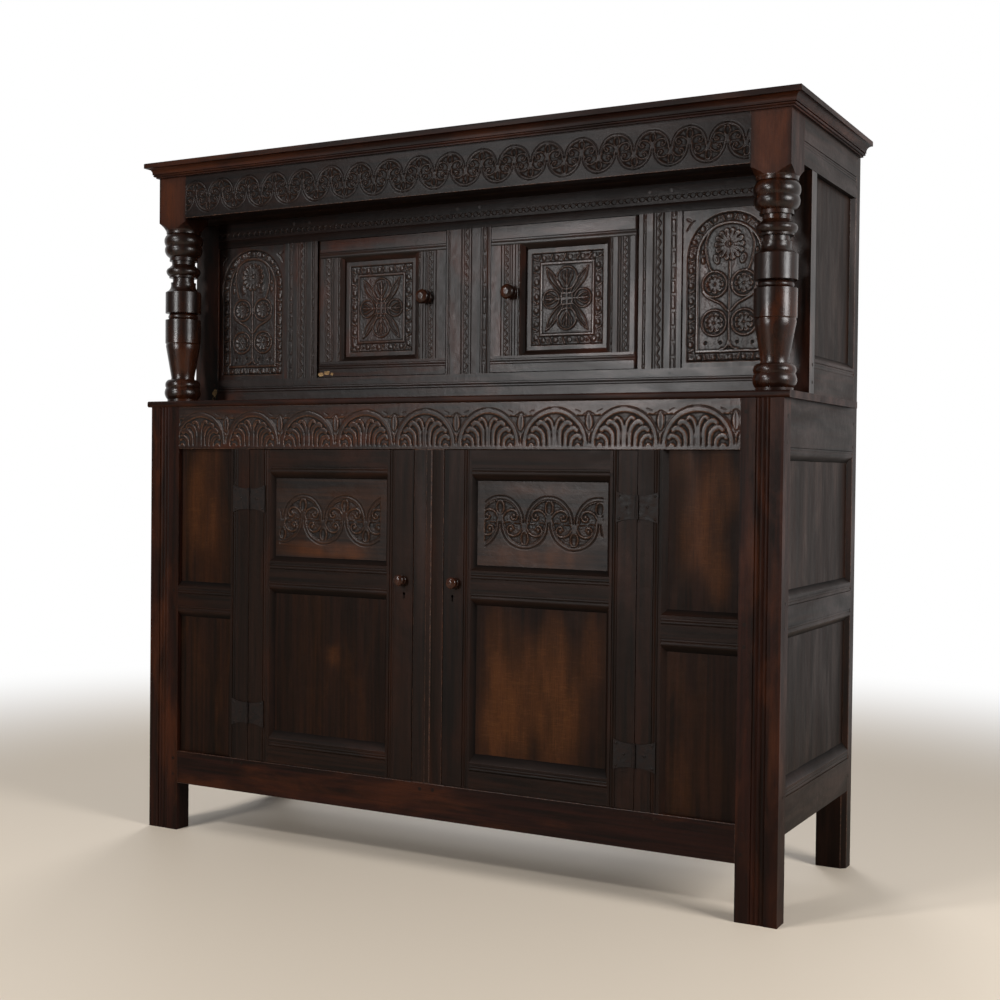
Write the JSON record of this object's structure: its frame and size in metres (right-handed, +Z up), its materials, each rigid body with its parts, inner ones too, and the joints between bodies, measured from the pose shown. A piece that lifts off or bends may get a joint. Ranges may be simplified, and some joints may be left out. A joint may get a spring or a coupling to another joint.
{
  "type": "court cupboard",
  "caption": "Joined oak court cupboard: panelled lower case with hinged doors, recessed carved upper cupboard under a deep frieze on turned posts.",
  "frame": {"origin": "middle of the bounding box on the floor plane, overhangs and knobs included", "axes": "+X to the viewer's right across the front, +Y from the front to the back, +Z up"},
  "size_m": [1.706, 0.573, 1.681],
  "materials": {
    "oak": "satin",
    "panel_oak": "satin",
    "dark_oak": "satin",
    "dry_oak": "matte",
    "iron": "matte"
  },
  "bodies": {
    "carcase": {"front_stile_left": "oak", "front_stile_right": "oak", "rear_stile_left": "oak", "rear_stile_right": "oak", "hinge_muntin_left": "oak", "hinge_muntin_right": "oak", "bay_panels_left": "panel_oak", "bay_panels_right": "panel_oak", "side_rails_left": "oak", "side_rails_right": "oak", "side_panels_left": "panel_oak", "side_panels_right": "panel_oak", "post_left": "dark_oak", "post_right": "dark_oak", "end_stile_left": "oak", "end_stile_right": "oak", "arcade_muntin_left": "oak", "arcade_muntin_right": "oak", "arcade_panel_left": "panel_oak", "arcade_panel_right": "panel_oak", "upper_side_rails_left": "oak", "upper_side_rails_right": "oak", "upper_side_panel_left": "panel_oak", "upper_side_panel_right": "panel_oak", "centre_muntin": "oak", "lunette_rail": "oak", "front_bottom_rail": "oak", "bay_rails": "oak", "back_rails": "dry_oak", "back_boards": "dry_oak", "floor_boards": "dry_oak", "mid_shelf": "oak", "frieze_rail": "oak", "recess_centre_muntin": "oak", "recess_base_rail": "oak", "recess_top_rail": "oak", "pivot_pins": "iron", "soffit_boards": "dry_oak", "top_boards": "dry_oak", "cornice": "oak", "frame_hinge_leaves": "iron", "hinge_pins": "iron"},
    "lower_door_left": {"lower_door_frame_left": "oak", "lower_door_panels_left": "panel_oak", "lower_door_knob_left": "dark_oak", "door_hinge_leaves_left": "iron", "lock_plate_left": "iron"},
    "lower_bolt_left": {"lock_bolt_left": "iron"},
    "upper_door_left": {"upper_door_frame_left": "oak", "upper_door_panel_left": "panel_oak", "upper_door_knob_left": "dark_oak"},
    "lower_door_right": {"lower_door_frame_right": "oak", "lower_door_panels_right": "panel_oak", "lower_door_knob_right": "dark_oak", "door_hinge_leaves_right": "iron", "lock_plate_right": "iron"},
    "lower_bolt_right": {"lock_bolt_right": "iron"},
    "upper_door_right": {"upper_door_frame_right": "oak", "upper_door_panel_right": "panel_oak", "upper_door_knob_right": "dark_oak"}
  },
  "joints": [
    {"name": "lower_door_hinge_left", "type": "hinge", "parent": "carcase", "child": "lower_door_left", "pos_m": [-0.51163, -0.2679, 0.577], "axis": [0, 0, -1], "range_deg": [0, 170]},
    {"name": "lower_bolt_slide_left", "type": "slide", "parent": "lower_door_left", "child": "lower_bolt_left", "axis": [1, 0, 0], "range_m": [0, 0.012]},
    {"name": "upper_door_hinge_left", "type": "hinge", "parent": "carcase", "child": "upper_door_left", "pos_m": [-0.42538, -0.0865, 1.314], "axis": [0, 0, -1], "range_deg": [0, 90]},
    {"name": "lower_door_hinge_right", "type": "hinge", "parent": "carcase", "child": "lower_door_right", "pos_m": [0.51163, -0.2679, 0.577], "axis": [0, 0, 1], "range_deg": [0, 170]},
    {"name": "lower_bolt_slide_right", "type": "slide", "parent": "lower_door_right", "child": "lower_bolt_right", "axis": [-1, 0, 0], "range_m": [0, 0.012]},
    {"name": "upper_door_hinge_right", "type": "hinge", "parent": "carcase", "child": "upper_door_right", "pos_m": [0.42538, -0.0865, 1.314], "axis": [0, 0, 1], "range_deg": [0, 90]}
  ]
}
